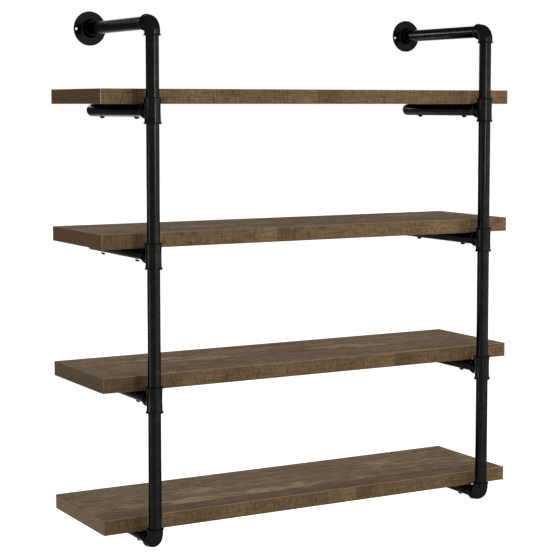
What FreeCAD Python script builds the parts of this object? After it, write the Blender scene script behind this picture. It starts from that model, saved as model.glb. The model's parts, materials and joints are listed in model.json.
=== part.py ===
"""Wall shelf: four thick wood-faced boards carried by two black pipe frames.

Millimetres, +Z up, +X to the right of a person who faces the shelf, +Y into the wall.
The origin lies on the wall plane, midway between the two wall flanges, level with their centres.
"""
import FreeCAD, Part
import math
import os

from FreeCAD import Placement, Rotation, Vector

# Boards: their size, and how they are spread over the height
BOARD_COUNT = 4
BOARD_LENGTH = 1016.0
BOARD_DEPTH = 265.0
BOARD_THICKNESS = 31.0
BOARD_PITCH = 293.5
WALL_GAP = 15.0
EDGING_THICKNESS = 1.0
EDGING_ARRIS = 0.5

# Pipe frames: where they stand against the boards
UPRIGHT_INSET = 96.0
MOUTH_TO_BOARD = 14.0
WALL_ARM_RISE = 132.0

# Pipe, and the turned-down ends that stand for its threads
PIPE_OUTSIDE = 26.9
PIPE_WALL = 2.0
THREAD_STEP = 1.0
THREAD_LENGTH = 13.5
THREAD_LEAD = 0.6
THREAD_CLEARANCE = 0.15

# Fittings: their walls are counted from the socket, and swell from the waist to a bead at each mouth
SOCKET_END_GAP = 0.5
SOCKET_FLOOR = 0.4
PASSAGE_STEP = 1.45
BEAD_RADIUS = 1.75
TEE_WALL = 3.6
TEE_FLARE = 0.8
TEE_FILLET = 3.0
BRANCH_WALL = 2.7
BRANCH_FLARE = 0.9
ELBOW_WALL = 3.6
ELBOW_INNER_CURVE = 1.8

# Wall flange: a thin disc with a short hub
FLANGE_OUTSIDE = 74.0
FLANGE_THICKNESS = 3.0
FLANGE_EDGE_ROUND = 1.0
FLANGE_FLOOR = 4.0
HUB_WALL = 3.9
HUB_FILLET = 5.0
HUB_EDGE_ROUND = 1.0
FLANGE_HOLE_COUNT = 2
FLANGE_HOLE = 6.0
FLANGE_HOLE_INSET = 5.6
FIRST_HOLE_DEGREES = {"left": 182.0, "right": 188.0}

# Arm cap: a domed end with a plug that goes into the pipe
CAP_BAND = 2.0
CAP_PLUG_LENGTH = 12.0
CAP_PLUG_CLEARANCE = 0.15
CAP_PLUG_WALL = 2.0

# Bolts that come up through each shelf arm into inserts in the board
FRONT_BOLT_SETBACK = 37.0
BACK_BOLT_SETBACK = 51.0
BOLT_SHANK = 6.0
BOLT_HEAD = 12.0
BOLT_HEAD_HEIGHT = 4.2
BOLT_KEY = 4.0
BOLT_KEY_DEPTH = 2.2
BOLT_KEY_SIDES = 6
BOLT_HOLE_CLEARANCE = 0.25
BOLT_POKE = 0.1
INSERT_OUTSIDE = 10.0
INSERT_LENGTH = 13.0
INSERT_CLEARANCE = 0.1
INSERT_BORE_CLEARANCE = 0.1
INSERT_HOLE_SPARE = 2.0

# One overrun for every cut that has to pass right through
OVERRUN = 5.0

# Directions and turns
UP = Vector(0, 0, 1)
DOWN = Vector(0, 0, -1)
TO_WALL = Vector(0, 1, 0)
TO_ROOM = Vector(0, -1, 0)
ACROSS = Vector(1, 0, 0)
MIDDLE = Vector(0, 0, 0)
FULL_TURN = 360
HALF_TURN = 180
QUARTER_TURN = 90

# Sizes of the pipe and its fittings that follow from the ones above
PIPE_RADIUS = PIPE_OUTSIDE / 2
PIPE_BORE_RADIUS = PIPE_RADIUS - PIPE_WALL
THREAD_RADIUS = PIPE_RADIUS - THREAD_STEP
SOCKET_RADIUS = THREAD_RADIUS + THREAD_CLEARANCE
SOCKET_DEPTH = THREAD_LENGTH + SOCKET_END_GAP
SOCKET_BOTTOM = SOCKET_RADIUS + SOCKET_FLOOR
FITTING_REACH = SOCKET_BOTTOM + SOCKET_DEPTH
PASSAGE_RADIUS = PIPE_BORE_RADIUS - PASSAGE_STEP
ELBOW_RADIUS = SOCKET_RADIUS + ELBOW_WALL
ELBOW_BEND = ELBOW_RADIUS + ELBOW_INNER_CURVE
FLANGE_HEIGHT = FLANGE_FLOOR + SOCKET_DEPTH
BOLT_LENGTH = PIPE_OUTSIDE + INSERT_LENGTH + BOLT_POKE

# Places that follow from the ones above
SIDE_REACH = BOARD_LENGTH / 2 - UPRIGHT_INSET
SIDES = {"left": -SIDE_REACH, "right": SIDE_REACH}
BOARD_BACK = -WALL_GAP
BOARD_FRONT = BOARD_BACK - BOARD_DEPTH
UPRIGHT_Y = BOARD_FRONT - MOUTH_TO_BOARD - FITTING_REACH
BOLT_ROWS = (BOARD_FRONT + FRONT_BOLT_SETBACK, BOARD_BACK - BACK_BOLT_SETBACK)
BOARD_TOPS = [-(WALL_ARM_RISE + number * BOARD_PITCH) for number in range(BOARD_COUNT)]
BOARD_UNDERSIDES = [top - BOARD_THICKNESS for top in BOARD_TOPS]
ARM_HEIGHTS = [underside - PIPE_RADIUS for underside in BOARD_UNDERSIDES]


def placed(shape, place, along=UP):
    """A copy of a shape that was made on the Z axis, turned along a direction and moved to its place."""
    copy = shape.copy()
    copy.Placement = Placement(place, Rotation(UP, along)).multiply(copy.Placement)
    return copy


def turned_about(shape, axis, degrees):
    """A copy of a shape, turned about an axis through the origin."""
    copy = shape.copy()
    copy.rotate(MIDDLE, axis, degrees)
    return copy


def outline(start, *steps):
    """A flat face. A step is the next corner, or a pair: a point that an arc passes and the arc's end."""
    edges = []
    here = start
    for step in steps:
        if isinstance(step, tuple):
            passed, there = step
            edges.append(Part.Arc(here, passed, there).toShape())
        else:
            there = step
            edges.append(Part.makeLine(here, there))
        here = there
    edges.append(Part.makeLine(here, start))
    return Part.Face(Part.Wire(edges))


def at(radius, along):
    """A point of a turned piece's outline: its radius, and how far along the Z axis it lies."""
    return Vector(radius, 0, along)


def spun(face):
    """The solid that an outline sweeps when it turns about the Z axis."""
    return face.revolve(MIDDLE, UP, FULL_TURN)


def rounded(centre, radius, degrees):
    """The point of a round corner that lies at an angle from the outward direction."""
    angle = math.radians(degrees)
    return at(centre.x + radius * math.cos(angle), centre.z + radius * math.sin(angle))


def round_bar(radius, length, start=MIDDLE, along=UP):
    """A plain round bar, used as a cutter and as a core."""
    return Part.makeCylinder(radius, length, start, along)


def pipe(length, far_thread=True):
    """A pipe from Z = 0, whose turned-down end goes on below it and, if threaded there too, above it."""
    corners = [
        at(PIPE_BORE_RADIUS, -THREAD_LENGTH),
        at(THREAD_RADIUS - THREAD_LEAD, -THREAD_LENGTH),
        at(THREAD_RADIUS, -THREAD_LENGTH + THREAD_LEAD),
        at(THREAD_RADIUS, 0),
        at(PIPE_RADIUS, 0),
        at(PIPE_RADIUS, length),
    ]
    if far_thread:
        corners += [
            at(THREAD_RADIUS, length),
            at(THREAD_RADIUS, length + THREAD_LENGTH - THREAD_LEAD),
            at(THREAD_RADIUS - THREAD_LEAD, length + THREAD_LENGTH),
            at(PIPE_BORE_RADIUS, length + THREAD_LENGTH),
        ]
    else:
        corners.append(at(PIPE_BORE_RADIUS, length))
    return spun(outline(*corners))


def bead_to_mouth(mouth_radius):
    """The half-round bead beside an upper mouth: its crest, and its end on the mouth."""
    return (at(mouth_radius + BEAD_RADIUS, FITTING_REACH - BEAD_RADIUS), at(mouth_radius, FITTING_REACH))


def barrel(waist_radius, mouth_radius):
    """A fitting's outer body from one beaded mouth to the other, without its bore."""
    bead_root = FITTING_REACH - 2 * BEAD_RADIUS
    return spun(outline(
        at(0, -FITTING_REACH),
        at(mouth_radius, -FITTING_REACH),
        (at(mouth_radius + BEAD_RADIUS, BEAD_RADIUS - FITTING_REACH), at(mouth_radius, -bead_root)),
        (at(waist_radius, 0), at(mouth_radius, bead_root)),
        bead_to_mouth(mouth_radius),
        at(0, FITTING_REACH),
    ))


def socket(direction):
    """The cutter of one threaded mouth, from its bottom out through the fitting's face."""
    return round_bar(SOCKET_RADIUS, SOCKET_DEPTH + OVERRUN, direction * SOCKET_BOTTOM, direction)


def saddle(body):
    """The edges where a tee's branch grows out of its run: the only ones that bend in all directions."""
    boxes = [(edge, edge.BoundBox) for edge in body.Edges]
    return [edge for edge, box in boxes if min(box.XLength, box.YLength, box.ZLength) > BEAD_RADIUS]


def tee():
    """A beaded tee: its run stands along Z and its branch points to the wall."""
    waist = SOCKET_RADIUS + TEE_WALL
    branch_waist = SOCKET_RADIUS + BRANCH_WALL
    branch_mouth = branch_waist + BRANCH_FLARE
    branch = placed(barrel(branch_waist, branch_mouth), MIDDLE, TO_WALL)
    branch = branch.common(round_bar(branch_mouth + 2 * BEAD_RADIUS, FITTING_REACH, MIDDLE, TO_WALL))
    body = barrel(waist, waist + TEE_FLARE).fuse(branch)
    body = body.makeFillet(TEE_FILLET, saddle(body))
    for direction in (UP, DOWN, TO_WALL):
        body = body.cut(socket(direction))
        body = body.cut(round_bar(PASSAGE_RADIUS, FITTING_REACH, MIDDLE, direction))
    return body


def bend(radius, centre_line):
    """A quarter bend of solid round bar about the origin, from the -Z port to the +Y port."""
    hub = Vector(0, centre_line, -centre_line)
    start = Part.Face(Part.Wire(Part.makeCircle(radius, Vector(0, 0, -centre_line), UP)))
    return start.revolve(hub, ACROSS, -QUARTER_TURN)


def elbow():
    """A beaded quarter elbow, with one mouth down and the other to the wall."""
    collar = spun(outline(
        at(0, ELBOW_BEND),
        at(ELBOW_RADIUS, ELBOW_BEND),
        at(ELBOW_RADIUS, FITTING_REACH - 2 * BEAD_RADIUS),
        bead_to_mouth(ELBOW_RADIUS),
        at(0, FITTING_REACH),
    ))
    body = bend(ELBOW_RADIUS, ELBOW_BEND)
    for direction in (DOWN, TO_WALL):
        body = body.fuse(placed(collar, MIDDLE, direction))
    body = body.removeSplitter()
    for direction in (DOWN, TO_WALL):
        body = body.cut(socket(direction))
    return body.cut(bend(PASSAGE_RADIUS, SOCKET_BOTTOM))


def wall_flange(first_hole_degrees):
    """A flange whose back lies on Z = 0 and whose hub points up; its holes are turned for its side."""
    disc = FLANGE_OUTSIDE / 2
    hub = SOCKET_RADIUS + HUB_WALL
    edge = at(disc - FLANGE_EDGE_ROUND, FLANGE_THICKNESS - FLANGE_EDGE_ROUND)
    foot = at(hub + HUB_FILLET, FLANGE_THICKNESS + HUB_FILLET)
    rim = at(hub - HUB_EDGE_ROUND, FLANGE_HEIGHT - HUB_EDGE_ROUND)
    body = spun(outline(
        at(PASSAGE_RADIUS, 0),
        at(disc, 0),
        rounded(edge, FLANGE_EDGE_ROUND, 0),
        (rounded(edge, FLANGE_EDGE_ROUND, QUARTER_TURN / 2), rounded(edge, FLANGE_EDGE_ROUND, QUARTER_TURN)),
        rounded(foot, HUB_FILLET, -QUARTER_TURN),
        (rounded(foot, HUB_FILLET, QUARTER_TURN / 2 - HALF_TURN), rounded(foot, HUB_FILLET, HALF_TURN)),
        rounded(rim, HUB_EDGE_ROUND, 0),
        (rounded(rim, HUB_EDGE_ROUND, QUARTER_TURN / 2), rounded(rim, HUB_EDGE_ROUND, QUARTER_TURN)),
        at(SOCKET_RADIUS, FLANGE_HEIGHT),
        at(SOCKET_RADIUS, FLANGE_HEIGHT - SOCKET_DEPTH),
        at(PASSAGE_RADIUS, FLANGE_HEIGHT - SOCKET_DEPTH),
    ))
    low = Vector(disc - FLANGE_HOLE_INSET, 0, -OVERRUN)
    hole = round_bar(FLANGE_HOLE / 2, FLANGE_THICKNESS + 2 * OVERRUN, low)
    for number in range(FLANGE_HOLE_COUNT):
        body = body.cut(turned_about(hole, UP, number * FULL_TURN / FLANGE_HOLE_COUNT))
    return turned_about(body, UP, first_hole_degrees)


def arm_cap():
    """A domed cap, seated on Z = 0, whose hollow plug hangs below it into the pipe."""
    plug = PIPE_BORE_RADIUS - CAP_PLUG_CLEARANCE
    dome = at(0, CAP_BAND)
    return spun(outline(
        at(0, 0),
        at(plug - CAP_PLUG_WALL, 0),
        at(plug - CAP_PLUG_WALL, -CAP_PLUG_LENGTH),
        at(plug, -CAP_PLUG_LENGTH),
        at(plug, 0),
        at(PIPE_RADIUS, 0),
        at(PIPE_RADIUS, CAP_BAND),
        (rounded(dome, PIPE_RADIUS, QUARTER_TURN / 2), at(0, CAP_BAND + PIPE_RADIUS)),
    ))


def bolt():
    """A button-head bolt that points up, with the underside of its head on Z = 0."""
    head_radius = BOLT_HEAD / 2
    shank_radius = BOLT_SHANK / 2
    ball = (head_radius ** 2 + BOLT_HEAD_HEIGHT ** 2) / (2 * BOLT_HEAD_HEIGHT)
    half_height = BOLT_HEAD_HEIGHT / 2
    half_width = math.sqrt(ball ** 2 - (ball - half_height) ** 2)
    body = spun(outline(
        at(0, -BOLT_HEAD_HEIGHT),
        (at(half_width, -half_height), at(head_radius, 0)),
        at(shank_radius, 0),
        at(shank_radius, BOLT_LENGTH),
        at(0, BOLT_LENGTH),
    ))
    corner = Vector(BOLT_KEY / math.sqrt(3), 0, -BOLT_HEAD_HEIGHT - OVERRUN)
    turns = [k * FULL_TURN / BOLT_KEY_SIDES for k in range(BOLT_KEY_SIDES + 1)]
    hexagon = Part.makePolygon([Rotation(UP, turn).multVec(corner) for turn in turns])
    return body.cut(Part.Face(hexagon).extrude(UP * (OVERRUN + BOLT_KEY_DEPTH)))


def insert():
    """A threaded insert for a blind hole, with its mouth on Z = 0."""
    bore = BOLT_SHANK / 2 + INSERT_BORE_CLEARANCE
    outer = round_bar(INSERT_OUTSIDE / 2, INSERT_LENGTH)
    return outer.cut(round_bar(bore, INSERT_LENGTH + 2 * OVERRUN, DOWN * OVERRUN))


def bolt_places(height):
    """Where the four bolts of one board stand, at a height."""
    return [Vector(x, y, height) for x in SIDES.values() for y in BOLT_ROWS]


def finished_board(underside):
    """The whole board with its edging on, and with its edges broken."""
    corner = Vector(-BOARD_LENGTH / 2, BOARD_FRONT, underside)
    block = Part.makeBox(BOARD_LENGTH, BOARD_DEPTH, BOARD_THICKNESS, corner)
    return block.makeChamfer(EDGING_ARRIS, block.Edges)


def board(underside):
    """One board's core between its edging strips, with a blind hole for each insert."""
    core_length = BOARD_LENGTH - 2 * EDGING_THICKNESS
    core_depth = BOARD_DEPTH - 2 * EDGING_THICKNESS
    corner = Vector(-core_length / 2, BOARD_FRONT + EDGING_THICKNESS, underside)
    core = Part.makeBox(core_length, core_depth, BOARD_THICKNESS, corner)
    hole_radius = INSERT_OUTSIDE / 2 + INSERT_CLEARANCE
    hole_length = INSERT_LENGTH + INSERT_HOLE_SPARE + OVERRUN
    for place in bolt_places(underside - OVERRUN):
        core = core.cut(round_bar(hole_radius, hole_length, place))
    return core


def edging(underside):
    """The four edging strips of one board: the long ones cover the ends of the short ones."""
    whole = finished_board(underside)
    half = BOARD_LENGTH / 2
    short = BOARD_DEPTH - 2 * EDGING_THICKNESS
    front = BOARD_FRONT
    back = BOARD_BACK - EDGING_THICKNESS
    strips = []
    for x, y, length, depth in (
        (-half, front, BOARD_LENGTH, EDGING_THICKNESS),
        (-half, back, BOARD_LENGTH, EDGING_THICKNESS),
        (-half, front + EDGING_THICKNESS, EDGING_THICKNESS, short),
        (half - EDGING_THICKNESS, front + EDGING_THICKNESS, EDGING_THICKNESS, short),
    ):
        strips.append(whole.common(Part.makeBox(length, depth, BOARD_THICKNESS, Vector(x, y, underside))))
    return strips


def shelf_arm(length):
    """The pipe under one side of a board, with a hole through both its walls for each bolt."""
    arm = placed(pipe(length, far_thread=False), Vector(0, UPRIGHT_Y + FITTING_REACH, 0), TO_WALL)
    hole_radius = BOLT_SHANK / 2 + BOLT_HOLE_CLEARANCE
    for y in BOLT_ROWS:
        low = Vector(0, y, -PIPE_RADIUS - OVERRUN)
        arm = arm.cut(round_bar(hole_radius, PIPE_OUTSIDE + 2 * OVERRUN, low))
    return arm


def pipe_frame(side, x):
    """The nodes of one pipe frame: flange, wall arm, elbows, uprights, tees, shelf arms and caps."""
    levels = [0] + ARM_HEIGHTS
    wall_arm_length = -UPRIGHT_Y - FITTING_REACH - FLANGE_HEIGHT
    cap_seat = -CAP_BAND - PIPE_RADIUS
    arm = shelf_arm(cap_seat - UPRIGHT_Y - FITTING_REACH)
    flange = wall_flange(FIRST_HOLE_DEGREES[side])
    top_elbow = elbow()
    bottom_elbow = turned_about(top_elbow, TO_WALL, HALF_TURN)
    pieces = {
        "wall_flange": placed(flange, Vector(x, 0, 0), TO_ROOM),
        "wall_arm": placed(pipe(wall_arm_length), Vector(x, -FLANGE_HEIGHT, 0), TO_ROOM),
        "top_elbow": placed(top_elbow, Vector(x, UPRIGHT_Y, 0)),
        "bottom_elbow": placed(bottom_elbow, Vector(x, UPRIGHT_Y, levels[-1])),
    }
    for number in range(1, BOARD_COUNT):
        pieces[f"tee_{number}"] = placed(tee(), Vector(x, UPRIGHT_Y, levels[number]))
    for number in range(1, BOARD_COUNT + 1):
        above, below = levels[number - 1], levels[number]
        upright = pipe(above - below - 2 * FITTING_REACH)
        pieces[f"upright_{number}"] = placed(upright, Vector(x, UPRIGHT_Y, below + FITTING_REACH))
        pieces[f"shelf_arm_{number}"] = placed(arm, Vector(x, 0, below))
        pieces[f"arm_cap_{number}"] = placed(arm_cap(), Vector(x, cap_seat, below), TO_WALL)
    return {f"{side}_{name}": [piece] for name, piece in pieces.items()}


def shelf_level(number):
    """The nodes of one board: its core, its edging, and its bolts and their inserts."""
    underside = BOARD_UNDERSIDES[number]
    bolt_seat = ARM_HEIGHTS[number] - PIPE_RADIUS
    return {
        f"shelf_board_{number + 1}": [board(underside)],
        f"shelf_edging_{number + 1}": edging(underside),
        f"shelf_bolts_{number + 1}": [placed(bolt(), place) for place in bolt_places(bolt_seat)],
        f"bolt_inserts_{number + 1}": [placed(insert(), place) for place in bolt_places(underside)],
    }


nodes = {}
for side, x in SIDES.items():
    nodes.update(pipe_frame(side, x))
for number in range(BOARD_COUNT):
    nodes.update(shelf_level(number))

os.makedirs("parts", exist_ok=True)
for name, solids in nodes.items():
    shape = solids[0] if len(solids) == 1 else Part.makeCompound(solids)
    shape.exportStep(f"parts/{name}.step")
    box = shape.BoundBox
    print(f"{name}: {len(shape.Solids)} solids, {shape.Volume:.0f} mm3, valid {shape.isValid()}")
    print(f"    from x {box.XMin:.1f}, y {box.YMin:.1f}, z {box.ZMin:.1f}")
    print(f"    to x {box.XMax:.1f}, y {box.YMax:.1f}, z {box.ZMax:.1f}")
print(f"{len(nodes)} nodes")
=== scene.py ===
# %% [markdown]
# # A wall shelf of rustic boards and black pipe
# Four thick boards with a printed oak finish hang from two frames of black pipe. The shapes come from the
# packed frame at their real size, so nothing is modelled twice here. What this lesson adds is the looks:
# the print and relief of the boards, the coats on pipe and castings, a camera, and soft studio light.

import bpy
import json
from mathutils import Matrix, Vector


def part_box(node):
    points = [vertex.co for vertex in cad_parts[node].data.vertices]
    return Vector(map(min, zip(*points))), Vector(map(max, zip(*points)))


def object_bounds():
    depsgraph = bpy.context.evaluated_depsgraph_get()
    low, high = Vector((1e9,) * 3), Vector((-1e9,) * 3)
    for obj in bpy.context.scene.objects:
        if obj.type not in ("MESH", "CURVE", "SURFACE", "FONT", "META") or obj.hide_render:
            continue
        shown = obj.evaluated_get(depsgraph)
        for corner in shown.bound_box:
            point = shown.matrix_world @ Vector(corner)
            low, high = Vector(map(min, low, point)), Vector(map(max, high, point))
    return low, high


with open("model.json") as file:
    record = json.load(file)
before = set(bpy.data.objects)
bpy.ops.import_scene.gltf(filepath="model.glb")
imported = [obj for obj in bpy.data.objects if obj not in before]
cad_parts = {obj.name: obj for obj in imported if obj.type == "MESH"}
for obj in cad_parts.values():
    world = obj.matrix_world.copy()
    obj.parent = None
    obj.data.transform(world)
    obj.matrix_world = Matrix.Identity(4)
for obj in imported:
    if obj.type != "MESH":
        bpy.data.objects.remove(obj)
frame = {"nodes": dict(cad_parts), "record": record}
cad_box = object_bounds()
print("pieces in the frame:", len(frame["nodes"]))

# %% [markdown]
# ## Where the viewer stands
# The shelf is seen from the left, a little below its top board, by someone about three and a half metres
# away. A long lens keeps the perspective flat. The view looks slightly down, and a small downward shift takes
# up the rest, which keeps the uprights nearly parallel. A full shift would make them exactly parallel, but
# it would push the shelf out of the picture in views from other sides.

# %% Camera
from math import radians

import bpy
from mathutils import Vector

EYE = Vector((-1.7794, -3.2598, -0.1636))
TURN_TO_THE_RIGHT = radians(29.473)
LOOK_DOWN = radians(4.663)
LENS = 103.24
SHIFT_DOWN = 0.08


def link(thing):
    """Puts a new object into the scene."""
    bpy.context.scene.collection.objects.link(thing)
    return thing


lens = bpy.data.cameras.new("viewer")
lens.lens = LENS
lens.shift_y = -SHIFT_DOWN
camera = link(bpy.data.objects.new("viewer", lens))
camera.location = EYE
camera.rotation_euler = (radians(90) - LOOK_DOWN, 0, -TURN_TO_THE_RIGHT)
bpy.context.scene.camera = camera
print("camera stands at", [round(value, 3) for value in EYE])

# %% [markdown]
# ## Writing a finish
# Each finish is a small network of nodes. Linked by hand, such a network takes many lines that hide what it
# means, so this helper adds a node, feeds its inputs and gives back its output in one call. Patterns are
# laid out in metres on the object itself, so a grain or a saw mark has its real size on every piece.

# %% Material helper
class Finish:
    """One material, written from its pattern to its shader: each call adds a node and returns its output."""

    def __init__(self, name):
        self.material = bpy.data.materials.new(name)
        self.material.use_nodes = True
        self.tree = self.material.node_tree
        self.shader = self.tree.nodes["Principled BSDF"]
        self.place = self.node("ShaderNodeTexCoord", "Object")

    def feed(self, socket, value):
        """Gives a socket a plain value, or links another node's output to it."""
        if isinstance(value, bpy.types.NodeSocket):
            self.tree.links.new(value, socket)
        else:
            socket.default_value = value

    def node(self, kind, output, settings=(), inputs=()):
        """Adds a node with its settings, feeds its inputs by name or number, and returns one output."""
        made = self.tree.nodes.new(kind)
        for name, value in dict(settings).items():
            setattr(made, name, value)
        for name, value in dict(inputs).items():
            self.feed(made.inputs[name], value)
        return made.outputs[output]

    def maths(self, operation, first, second=0.0, third=0.0):
        """One step of arithmetic, called by the Math node's own name for it."""
        return self.node("ShaderNodeMath", 0, {"operation": operation}, {0: first, 1: second, 2: third})

    def noise(self, place, scale, detail=2.0, roughness=0.5, distortion=0.0):
        """Soft noise with so many steps a metre; more detail adds finer steps, and roughness their weight."""
        return self.node("ShaderNodeTexNoise", "Fac", inputs={
            "Vector": place, "Scale": scale, "Detail": detail, "Roughness": roughness,
            "Distortion": distortion})

    def between(self, value, low, high, to_low=0.0, to_high=1.0):
        """Turns low..high into to_low..to_high with soft ends, and holds it there beyond them."""
        return self.node("ShaderNodeMapRange", 0, {"interpolation_type": "SMOOTHSTEP"},
                         {0: value, 1: low, 2: high, 3: to_low, 4: to_high})

    def blend(self, share, first, second):
        """Blends two colours by a share from 0 to 1. The Mix node's colours go in at 6 and 7 and out at 2."""
        return self.node("ShaderNodeMix", 2, {"data_type": "RGBA"}, {0: share, 6: first, 7: second})

    def bump(self, height, depth):
        """Relief whose height runs from 0 to 1 over a real depth in metres."""
        return self.node("ShaderNodeBump", 0, inputs={"Height": height, "Distance": depth})

    def surface(self, **inputs):
        """Feeds the shader, whose input names are written here with _ for a space."""
        for name, value in inputs.items():
            self.feed(self.shader.inputs[name.replace("_", " ")], value)


print("a finish can:", ", ".join(name for name in vars(Finish) if not name.startswith("_")))

# %% [markdown]
# ## Colours as they look
# A colour is easiest to choose as it looks on a screen, but the renderer counts light, and half the light
# looks much brighter than half. So each colour is written the way it looks and straightened here, once.

# %% Colours
def colour(red, green, blue):
    """A colour written as it looks on screen, from 0 to 255, turned into the linear one to render with."""
    def straight(value):
        share = value / 255
        return share / 12.92 if share <= 0.04045 else ((share + 0.055) / 1.055) ** 2.4
    return (straight(red), straight(green), straight(blue), 1.0)


WHITE = colour(255, 255, 255)
print("a mid brown is", [round(value, 3) for value in colour(107, 88, 63)])

# %% [markdown]
# ## Black coats
# The pipe and its castings are powder coated: a smooth satin black, darkest where it is seen square on and
# lighter toward its edges, where it mirrors the room. A plain black paint would do, but its rims turn white.
# A metal with a nearly black base has an edge tint, and a grey one keeps the rims down. A very fine skin in
# the relief, slow changes in the roughness and a little dust keep it from looking like plastic. The castings
# are grainier than the drawn pipe. The wall flanges take a darker copy of the castings' coat, painted shade
# that keeps their flat discs from mirroring the window lamp so brightly.

# %% Coats for pipe, fittings, flanges, caps and bolts
EDGE_TINT = (0.48, 0.48, 0.48, 1.0)
SHEEN_STEPS = 9.0
SHEEN_SWING = 0.04
DUST_STEPS = 55.0
DUST_LIGHTER = 1.9
DUST_ROUGHER = 0.06
CAST_STEPS = 420.0


def black_coat(name, shade, sheen, skin_size, skin_depth, cast_depth=0.0):
    """A satin black coat: its shade, its roughness, and the size and depth of its skin and cast grain."""
    coat = Finish(name)
    slow = coat.noise(coat.place, SHEEN_STEPS, 3.0)
    skin = coat.noise(coat.place, 1.0 / skin_size)
    dust = coat.between(coat.noise(coat.place, DUST_STEPS, 5.0, 0.65), 0.45, 0.8)
    dusty = tuple(DUST_LIGHTER * value for value in shade[:3]) + (1.0,)
    roughness = coat.maths("ADD", coat.between(slow, 0.3, 0.7, sheen - SHEEN_SWING, sheen + SHEEN_SWING),
                           coat.maths("MULTIPLY", dust, DUST_ROUGHER))
    relief = coat.maths("MULTIPLY", skin, skin_depth)
    if cast_depth:
        grain = coat.noise(coat.place, CAST_STEPS, 4.0, 0.6)
        relief = coat.maths("MULTIPLY_ADD", grain, cast_depth, relief)
    coat.surface(Base_Color=coat.blend(dust, shade, dusty), Metallic=1.0, Specular_Tint=EDGE_TINT,
                 Roughness=roughness, Normal=coat.bump(relief, 1.0))
    return coat.material


coats = {
    "pipe_black": black_coat("pipe_black", colour(20, 21, 20), 0.21, 0.0022, 0.0000015),
    "fitting_black": black_coat("fitting_black", colour(21, 21, 20), 0.2, 0.0022, 0.000003, 0.000003),
    # painted shade: a darker copy of the castings' coat for the wall flanges, so their discs mirror the
    # window lamp less
    "flange_painted_shade_black": black_coat("flange_painted_shade_black", colour(11, 12, 12), 0.22, 0.0022, 0.000002, 0.000002),
    "cap_black": black_coat("cap_black", colour(20, 20, 21), 0.25, 0.0022, 0.0000015),
    "bolt_black": black_coat("bolt_black", colour(23, 23, 24), 0.30, 0.0009, 0.00001),
}
print("coats:", ", ".join(coats))

# %% [markdown]
# ## Writing a print
# The boards and their edging carry printed paper, whose patterns are long one way and short the other. This
# second helper adds what only a print needs: noise with its own steps along and across, frayed spots, a ramp
# of greys, and a wash that lays a colour over a tone where a pattern is high or low.

# %% Print helper
class Print(Finish):
    """A finish of printed paper."""

    def axes(self, vector):
        """The three parts of a place: across the shelf, into the wall, and up."""
        split = self.tree.nodes.new("ShaderNodeSeparateXYZ")
        self.feed(split.inputs[0], vector)
        return split.outputs[0], split.outputs[1], split.outputs[2]

    def point(self, x, y, z=0.0):
        """A place from its parts."""
        return self.node("ShaderNodeCombineXYZ", 0, inputs={0: x, 1: y, 2: z})

    def pattern(self, x, y, x_steps, y_steps, layer, detail, roughness=0.5, distortion=0.0):
        """Noise with its own steps a metre along x and along y; another layer gives another pattern."""
        place = self.point(self.maths("MULTIPLY", x, x_steps), self.maths("MULTIPLY", y, y_steps), layer)
        return self.noise(place, 1.0, detail, roughness, distortion)

    def wash(self, tone, over, pattern, low, high, at_low, at_high):
        """Lays a colour over a tone, by a share that turns from at_low to at_high as the pattern rises."""
        return self.blend(self.between(pattern, low, high, at_low, at_high), tone, over)

    def spot(self, x, y, centre, reach, ragged):
        """1 at a centre, falling to 0 at its reach along x and y; the ragged pattern frays its rim."""
        off_x = self.maths("DIVIDE", self.maths("SUBTRACT", x, centre[0]), reach[0])
        off_y = self.maths("DIVIDE", self.maths("SUBTRACT", y, centre[1]), reach[1])
        distance = self.node("ShaderNodeVectorMath", "Value", {"operation": "LENGTH"},
                             {0: self.point(off_x, off_y)})
        return self.between(self.maths("ADD", distance, ragged), 0.3, 1.0, 1.0, 0.0)

    def ramp(self, value, stops):
        """A grey from 0 to 1 that runs straight from stop to stop; each stop is a place and its grey."""
        made = self.tree.nodes.new("ShaderNodeValToRGB")
        marks = made.color_ramp.elements
        while len(marks) < len(stops):
            marks.new(1.0)
        for mark, (place, grey) in zip(marks, stops):
            mark.position = place
            mark.color = (grey, grey, grey, 1.0)
        self.feed(made.inputs[0], value)
        return made.outputs[0]


print("a print can also:", ", ".join(name for name in vars(Print) if not name.startswith("_")))

# %% [markdown]
# ## The boards' printed faces
# The board is faced with a paper printed like old sawn oak and pressed with a light relief. The print runs
# along the board: wide planks side by side, one greyer, the next browner, with long streaks, short marks,
# fine pores and pale worn patches. An image would be quicker, but noise that is stretched along the grain
# gives the same look without one. Every board is cut from another stretch of the print, so each has its own
# shift, its own plank joint and its own worn places, and no two boards match. The lowest board also has a
# darker front plank. A worn place is a soft spot whose rim is frayed by the short marks, so it doesn't look
# like a stain.

# %% Tones and places of the boards' print
SHADOW_BROWN = colour(84, 69, 55)
GREY_BROWN = colour(121, 105, 87)
WARM_BROWN = colour(141, 119, 93)
WORN_TAN = colour(172, 150, 118)
PLANK_WIDTH = 0.1
FRONT_OF_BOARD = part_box("shelf_edging_1")[0].y
CUT_APART = 3.0
PRINT_SHIFTS = (0.0, 0.099, -0.203, -0.102)
JOINTS_FROM_FRONT = (0.06, 0.09, 0.125, 0.056)
FRONT_PLANK_SHADES = (0.0, 0.0, 0.0, 0.5)
WORN_PLACES = (
    ((-0.12, -0.13), (0.26, -0.18)),
    ((-0.24, -0.17), (0.33, -0.10)),
    ((0.23, -0.15), (0.14, -0.135), (-0.30, -0.10), (-0.20, -0.13)),
    ((-0.21, -0.13), (-0.27, -0.21), (-0.11, -0.205), (-0.015, -0.206), (0.28, -0.105)),
)
WORN_REACH = (0.075, 0.028)
print("worn places on each board:", [len(places) for places in WORN_PLACES])

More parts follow.
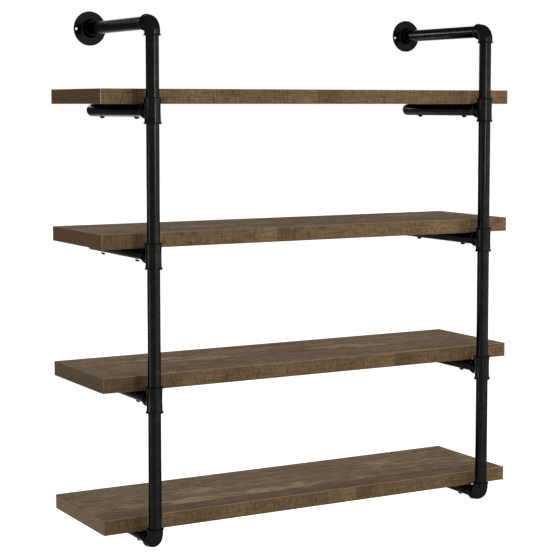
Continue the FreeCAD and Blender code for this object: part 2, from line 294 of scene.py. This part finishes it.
# %% [markdown]
# ## From patterns to a board face
# Each pattern below is five numbers at most: its steps a metre along the board and across it, its layer of
# noise, its detail, and its roughness where that isn't the usual half. The sway bends all of them a little,
# since no plank is quite straight. The tones are then laid on from the ground up: plank, streaks, marks, worn
# places, pores, the shade of the front plank, and last the joints between the planks.

# %% Board faces
from math import pi

SWAY = (3.0, 9.0, 2.0, 2.0)
SWAY_REACH = 0.016
STREAKS = (3.2, 72.0, 0.0, 6.0, 0.62)
MARKS = (26.0, 78.0, 1.0, 5.0, 0.62)
PORES = (45.0, 800.0, 0.0, 3.0)
CLOUDS = (5.0, 13.0, 4.0, 4.0, 0.55)
BROWNER_SHARE = 0.4
WORN_SHARE = 0.5
FRAYED_BY = 4.0
STREAK_RELIEF = 0.6
PORE_RELIEF = 0.4
FACE_DEPTH = 0.0004


def board_face(number):
    """The print on the top and underside of one board."""
    face = Print(f"board_face_{number + 1}")
    x, y = face.axes(face.place)[:2]
    along = face.maths("ADD", x, PRINT_SHIFTS[number] + CUT_APART * number)
    across = face.maths("MULTIPLY_ADD", face.pattern(along, y, *SWAY), SWAY_REACH, y)
    streaks = face.pattern(along, across, *STREAKS)
    marks = face.pattern(along, across, *MARKS)
    pores = face.pattern(along, across, *PORES)
    clouds = face.pattern(along, across, *CLOUDS)
    joint = FRONT_OF_BOARD + JOINTS_FROM_FRONT[number]
    turn = face.maths("SINE", face.maths("MULTIPLY", face.maths("SUBTRACT", y, joint), pi / PLANK_WIDTH))
    browner = face.maths("MULTIPLY", face.maths("GREATER_THAN", turn, 0.0), BROWNER_SHARE)
    share = face.maths("ADD", face.between(clouds, 0.35, 0.65, -0.1, 0.5), browner)
    tone = face.blend(share, GREY_BROWN, WARM_BROWN)
    tone = face.wash(tone, SHADOW_BROWN, streaks, 0.36, 0.62, 0.55, 0.05)
    tone = face.wash(tone, SHADOW_BROWN, marks, 0.38, 0.52, 0.4, 0.0)
    tone = face.wash(tone, WORN_TAN, marks, 0.53, 0.68, 0.0, 0.45)
    ragged = face.maths("MULTIPLY_ADD", marks, -FRAYED_BY, FRAYED_BY / 2)
    for place in WORN_PLACES[number]:
        worn = face.maths("MULTIPLY", face.spot(x, y, place, WORN_REACH, ragged), WORN_SHARE)
        tone = face.blend(worn, tone, WORN_TAN)
    tone = face.wash(tone, SHADOW_BROWN, pores, 0.32, 0.48, 0.35, 0.0)
    front_plank = face.maths("MULTIPLY", face.maths("LESS_THAN", y, joint), FRONT_PLANK_SHADES[number])
    tone = face.blend(front_plank, tone, SHADOW_BROWN)
    tone = face.wash(tone, SHADOW_BROWN, face.maths("ABSOLUTE", turn), 0.0, 0.04, 0.5, 0.0)
    relief = face.maths("MULTIPLY_ADD", streaks, STREAK_RELIEF, face.maths("MULTIPLY", pores, PORE_RELIEF))
    face.surface(Base_Color=tone, Roughness=face.between(streaks, 0.3, 0.7, 0.82, 0.72),
                 Normal=face.bump(relief, FACE_DEPTH), Specular_IOR_Level=0.03)
    return face.material


board_faces = [board_face(number) for number in range(len(PRINT_SHIFTS))]
print("board faces:", len(board_faces))

# %% [markdown]
# ## The edging strips
# The long edges carry a strip of the same paper. Here the print shows rough sawn wood: grain along the board,
# fine upright saw marks five or six millimetres apart, short dark and pale nicks, two dark checks side by
# side, and a joint where a light block meets a dark one. The brightness along the strip is a ramp with a stop
# at each such place, read from the joint, and every board takes its own stretch of it.

# %% The sawn print along the strips, with painted shade
STRIP_DARK = colour(68, 51, 31)
STRIP_LIGHT = colour(121, 99, 70)
STRIP_SHADOW = colour(46, 34, 21)
# painted shade: the strips of the lower boards are darkened, since less light reaches the bottom of the shelf
STRIP_PAINTED_SHADES = (0.08, 0.10, 0.24, 0.20)
GRAIN = (22.0, 240.0, 0.0, 5.0, 0.65)
STRIP_MARKS = (70.0, 110.0, 3.0, 4.0, 0.6)
NICKS = (210.0, 55.0, 9.0, 4.0, 0.6)
SAW_SWAY = (30.0, 60.0, 5.0, 2.0)
SAW_SWAY_REACH = 0.002
SAW_STEP = 0.0055
SAW_RELIEF = 0.3
SAWN_FROM = (-0.30, -0.27)
SAWN_TO = (-0.08, -0.06)
CHECKS = (-0.083, -0.076)
STRIP_REACH = 0.72
STRIP_TONES = (
    (-0.72, 0.35), (-0.545, 0.40), (-0.525, 0.72), (-0.460, 0.66), (-0.430, 0.38), (-0.375, 0.40),
    (-0.350, 0.55), (-0.285, 0.70), (-0.245, 0.55), (-0.090, 0.50), (-0.075, 0.68), (-0.058, 0.50),
    (-0.024, 0.80), (-0.001, 0.62), (0.0, 0.25), (0.045, 0.27), (0.065, 0.48), (0.240, 0.56),
    (0.385, 0.48), (0.395, 0.88), (0.470, 0.82), (0.480, 0.50), (0.72, 0.62),
)


def sawn_print_with_painted_shade(strip, number, x, z):
    """The print along the strips of one board, with painted shade on the lower boards and along the bottom
    edge: its tone, its grain and its relief.
    """
    along = strip.maths("ADD", x, PRINT_SHIFTS[number])
    place = strip.maths("MULTIPLY_ADD", along, 0.5 / STRIP_REACH, 0.5)
    stops = [((stop + STRIP_REACH) / (2 * STRIP_REACH), grey) for stop, grey in STRIP_TONES]
    grain = strip.pattern(along, z, *GRAIN)
    marks = strip.pattern(along, z, *STRIP_MARKS)
    nicks = strip.pattern(along, z, *NICKS)
    saw_place = strip.maths("MULTIPLY_ADD", strip.pattern(along, z, *SAW_SWAY), SAW_SWAY_REACH, along)
    saw = strip.maths("SINE", strip.maths("MULTIPLY", saw_place, 2.0 * pi / SAW_STEP))
    sawn = strip.maths("MULTIPLY", strip.between(along, *SAWN_FROM, 0.25, 1.0),
                       strip.between(along, *SAWN_TO, 1.0, 0.3))
    saw_mark = strip.maths("MULTIPLY", strip.between(saw, 0.1, 0.9, 0.0, 0.6),
                           strip.between(marks, 0.4, 0.62))
    tone = strip.blend(strip.ramp(place, stops), STRIP_DARK, STRIP_LIGHT)
    tone = strip.wash(tone, STRIP_SHADOW, grain, 0.34, 0.58, 0.5, 0.0)
    tone = strip.wash(tone, STRIP_LIGHT, marks, 0.55, 0.72, 0.0, 0.35)
    tone = strip.wash(tone, STRIP_SHADOW, marks, 0.30, 0.45, 0.35, 0.0)
    tone = strip.blend(strip.maths("MULTIPLY", sawn, saw_mark), tone, STRIP_SHADOW)
    # painted shade: the strip darkens along its lowest three millimetres, under the board's edge
    height = strip.maths("SUBTRACT", z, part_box(f"shelf_edging_{number + 1}")[0].z)
    tone = strip.wash(tone, STRIP_SHADOW, height, 0.0005, 0.003, 0.55, 0.0)
    tone = strip.wash(tone, STRIP_SHADOW, nicks, 0.34, 0.5, 0.5, 0.0)
    tone = strip.wash(tone, STRIP_LIGHT, nicks, 0.52, 0.68, 0.0, 0.35)
    # painted shade: each board's strips are darkened by its own share, the lower boards more
    tone = strip.blend(STRIP_PAINTED_SHADES[number], tone, STRIP_SHADOW)
    for check in CHECKS:
        gap = strip.maths("ABSOLUTE", strip.maths("SUBTRACT", saw_place, check))
        tone = strip.wash(tone, STRIP_SHADOW, gap, 0.0008, 0.002, 0.35, 0.0)
    relief = strip.maths("MULTIPLY_ADD", saw, strip.maths("MULTIPLY", sawn, SAW_RELIEF), grain)
    return tone, grain, relief


print("tones along the strips:", len(STRIP_TONES))

# %% [markdown]
# ## The ends of the boards
# The print on a board's end shows slanting grain with small flecks. Each board's ends have a tone of their
# own,
# which also carries painted light: it grows lighter toward the lowest board, as light from low on the left
# would make it. The slant is made by leaning both directions of the pattern, so no texture has to be turned.
# The last number of the grain's pattern bends it a little.

# %% The print on the ends, with painted light
END_TONES_WITH_PAINTED_LIGHT = (colour(67, 47, 16), colour(76, 54, 24), colour(78, 62, 38), colour(115, 96, 75))
END_GRAIN = (26.0, 110.0, 0.0, 5.0, 0.65, 0.6)
FLECKS = (260.0, 170.0, 7.0, 4.0, 0.6)
LEAN = 1.6
RISE = 0.35


def end_print_with_painted_light(strip, number, y, z):
    """The print on the ends of one board, with painted light that grows toward the lowest board."""
    grain = strip.pattern(strip.maths("MULTIPLY_ADD", z, LEAN, y), strip.maths("MULTIPLY_ADD", y, RISE, z),
                          *END_GRAIN)
    flecks = strip.pattern(y, z, *FLECKS)
    # painted light: the end tones grow lighter toward the lowest board, as if lit from low on the left
    tone = strip.wash(END_TONES_WITH_PAINTED_LIGHT[number], STRIP_SHADOW, grain, 0.35, 0.6, 0.25, 0.0)
    tone = strip.wash(tone, STRIP_SHADOW, flecks, 0.36, 0.5, 0.45, 0.0)
    return strip.wash(tone, STRIP_LIGHT, flecks, 0.52, 0.66, 0.0, 0.3)


print("tones of the ends:", len(END_TONES_WITH_PAINTED_LIGHT))

# %% [markdown]
# ## One finish round the board
# Along the broken edges the pale core of the strip shows as a thin line, which is dark toward the wall, and
# at each corner the seam between two strips shows too, most clearly on the top board. One material holds all
# of this and picks the print from the way the surface faces.

# %% Edging
RAW_EDGE = colour(165, 150, 128)
RAW_SHARE = 0.6
RAW_SHARE_AT_CORNER = 0.2
SEAM_WIDTH = 0.0014
SEAM_SHOWS = (0.95, 0.3, 0.3, 0.3)
FACES_THAT_WAY = 0.9
STRIP_DEPTH = 0.0003


def edging(number):
    """The finish of the strips round one board."""
    strip = Print(f"board_edging_{number + 1}")
    x, y, z = strip.axes(strip.place)
    facing = strip.axes(strip.node("ShaderNodeNewGeometry", "True Normal"))
    sideways = strip.maths("ABSOLUTE", facing[0])
    forward = strip.maths("ABSOLUTE", facing[1])
    tone, grain, relief = sawn_print_with_painted_shade(strip, number, x, z)
    at_end = strip.maths("GREATER_THAN", sideways, FACES_THAT_WAY)
    tone = strip.blend(at_end, tone, end_print_with_painted_light(strip, number, y, z))
    raw = strip.maths("LESS_THAN", strip.maths("MAXIMUM", sideways, forward), FACES_THAT_WAY)
    behind = strip.maths("GREATER_THAN", y, (cad_box[0].y + cad_box[1].y) / 2)
    corner = strip.maths("GREATER_THAN", strip.maths("ABSOLUTE", x), cad_box[1].x - SEAM_WIDTH)
    raw_shows = strip.maths("MULTIPLY_ADD", corner, RAW_SHARE_AT_CORNER - RAW_SHARE, RAW_SHARE)
    tone = strip.blend(strip.maths("MULTIPLY", raw, raw_shows), tone,
                       strip.blend(behind, RAW_EDGE, STRIP_DARK))
    seam = strip.maths("MULTIPLY", corner, strip.maths("GREATER_THAN", forward, FACES_THAT_WAY))
    tone = strip.blend(strip.maths("MULTIPLY", seam, SEAM_SHOWS[number]), tone, RAW_EDGE)
    strip.surface(Base_Color=tone, Roughness=strip.between(grain, 0.3, 0.7, 0.66, 0.56),
                  Normal=strip.bump(relief, STRIP_DEPTH), Specular_IOR_Level=0.06)
    return strip.material


edgings = [edging(number) for number in range(len(PRINT_SHIFTS))]
print("edgings:", len(edgings))

# %% [markdown]
# ## Inserts in the boards
# The threaded inserts sit inside the boards, where only the bare zinc shows if a board is taken off. A metal
# with a soft, slightly streaked roughness is enough for so small a turned piece.

# %% Zinc
ZINC_DARK = colour(170, 172, 176)
ZINC_LIGHT = colour(196, 196, 198)
TURNING_STEPS = 600.0
TURNING_DEPTH = 0.00002


def zinc():
    """Bright zinc on a small turned piece."""
    metal = Finish("insert_zinc")
    turned = metal.noise(metal.place, TURNING_STEPS)
    metal.surface(Base_Color=metal.blend(turned, ZINC_DARK, ZINC_LIGHT), Metallic=1.0,
                  Roughness=metal.between(turned, 0.3, 0.7, 0.28, 0.42),
                  Normal=metal.bump(turned, TURNING_DEPTH))
    return metal.material


zinc_coat = zinc()
print("zinc ready")

# %% [markdown]
# ## Dressing the pieces
# Every piece keeps its own shape from the frame and only changes its material. Which finish it takes is read
# from the packed record, so that no piece is forgotten. Only the wall flanges are picked out by name, since
# the record gives them the same coat as the other castings; they take its darker copy, with painted shade.

# %% Assign the finishes
slot_of = {part["node"]: part["material_slot"] for part in frame["record"]["subparts"]}
for name, piece in frame["nodes"].items():
    slot = slot_of[name]
    number = int(name[-1]) - 1 if name[-1].isdigit() else 0
    if slot == "board_face":
        finish = board_faces[number]
    elif slot == "board_edging":
        finish = edgings[number]
    elif slot == "insert_zinc":
        finish = zinc_coat
    # the wall flanges take the darker coat with painted shade
    elif "flange" in name:
        finish = coats["flange_painted_shade_black"]
    else:
        finish = coats[slot]
    piece.data.materials.clear()
    piece.data.materials.append(finish)
print("dressed", len(frame["nodes"]), "pieces")

# %% [markdown]
# ## A white ground
# The shelf hangs free before a white ground. A stronger sky would make the ground white too, but it would
# wash out the boards. So the sky is white only where a ray shows it, straight to the camera, in a mirror or
# through glass, and it lights the shelf at its own, lower strength.

# %% Sky
SKY = 0.42


def seen_share(tree):
    """Is the ray one that shows the background: straight to the camera, mirrored or passed through?"""
    path = tree.nodes.new("ShaderNodeLightPath")
    seen = path.outputs["Is Camera Ray"]
    for name in ("Is Glossy Ray", "Is Transmission Ray"):
        most = tree.nodes.new("ShaderNodeMath")
        most.operation = "MAXIMUM"
        tree.links.new(seen, most.inputs[0])
        tree.links.new(path.outputs[name], most.inputs[1])
        seen = most.outputs[0]
    return seen


def sky():
    """A white sky that lights the shelf at its own, lower strength."""
    world = bpy.data.worlds.new("sky")
    world.use_nodes = True
    tree = world.node_tree
    light = tree.nodes["Background"]
    light.inputs["Color"].default_value = WHITE
    strength = tree.nodes.new("ShaderNodeMapRange")
    tree.links.new(seen_share(tree), strength.inputs["Value"])
    strength.inputs["To Min"].default_value = SKY
    strength.inputs["To Max"].default_value = 1.0
    tree.links.new(strength.outputs[0], light.inputs["Strength"])
    return world


bpy.context.scene.world = sky()
print("sky strength:", SKY)

# %% [markdown]
# ## The floor
# A white floor lies below the shelf and takes its soft shadow. By its paint alone it would look grey, since
# the lamps are set for the shelf, so it also glows where a ray shows it, just enough to reach white where no
# shadow falls. The boards get none of that glow and keep their colour.

# %% Floor
FLOOR_BELOW_SHELF = 0.4
FLOOR_SIZE = 40.0
FLOOR_LIFT = 0.85
FLOOR_PAINT = (0.8, 0.8, 0.8, 1.0)


def floor():
    """A white floor below the shelf, lifted to full white for the camera where no shadow falls."""
    half = FLOOR_SIZE / 2
    low = cad_box[0].z - FLOOR_BELOW_SHELF
    mesh = bpy.data.meshes.new("floor")
    mesh.from_pydata([(-half, -half, low), (half, -half, low), (half, half, low), (-half, half, low)], [],
                     [(0, 1, 2, 3)])
    paint = Finish("floor_white")
    lift = paint.maths("MULTIPLY", seen_share(paint.tree), FLOOR_LIFT)
    paint.surface(Base_Color=FLOOR_PAINT, Roughness=0.9, Specular_IOR_Level=0.0,
                  Emission_Color=WHITE, Emission_Strength=lift)
    mesh.materials.append(paint.material)
    made = link(bpy.data.objects.new("floor", mesh))
    return made


print("floor at height", round(floor().data.vertices[0].co.z, 3))

# %% [markdown]
# ## Lamps
# A wide soft window stands in front, to the right, and gives the boards most of their light. Black pipe shows
# little but what it mirrors, so the other lamps are placed for what they draw on it: the key and the low key
# the light band down the uprights, the right and left lamps the sides, and two lamps behind the shelf the
# line along the wall arm and the soft band under each arm. The white sky fills the rest. Each lamp is given
# by its place, the point that it faces, its width and height, and its power. The Standard view shows a colour
# about as it is written, where the usual one would soften it.

# %% Lamps
MIDDLE = (cad_box[0] + cad_box[1]) / 2
LAMPS = {
    "window": ((1.9, -2.3, -0.3), MIDDLE, (2.6, 2.2), 42.0),
    "key": ((0.04, -1.95, -0.12), (0.0, -0.3, -0.12), (0.4, 0.66), 14.0),
    "low_key": ((0.0, -1.95, -1.0), (0.0, -0.3, -1.0), (0.5, 0.9), 3.2),
    "right": ((2.9, -0.8, -0.45), MIDDLE, (1.0, 1.5), 20.0),
    "left": ((-2.9, 0.3, -0.8), MIDDLE, (1.2, 1.1), 18.0),
    "behind": ((-0.48, 1.15, 0.2), (0.41, -0.15, 0.0), (0.2, 0.3), 7.0),
    "under": ((0.2, 1.48, -1.02), (0.41, -0.15, -0.1), (0.95, 0.4), 8.0),
}


def lamp(name, place, target, size, power):
    """A soft rectangular lamp that points at a target and isn't itself seen."""
    light = bpy.data.lights.new(name, "AREA")
    light.shape = "RECTANGLE"
    light.size, light.size_y = size
    light.energy = power
    made = link(bpy.data.objects.new(name, light))
    made.location = place
    made.rotation_euler = (Vector(target) - Vector(place)).to_track_quat("-Z", "Y").to_euler()
    made.visible_camera = False


for name, setting in LAMPS.items():
    lamp(name, *setting)
bpy.context.scene.view_settings.view_transform = "Standard"
print("lamps:", ", ".join(LAMPS))

# %% [markdown]
# ## Sizes, and the end
# The finishes add no thickness, so the dressed shelf fills the same box as the frame.

# %% The end
import json
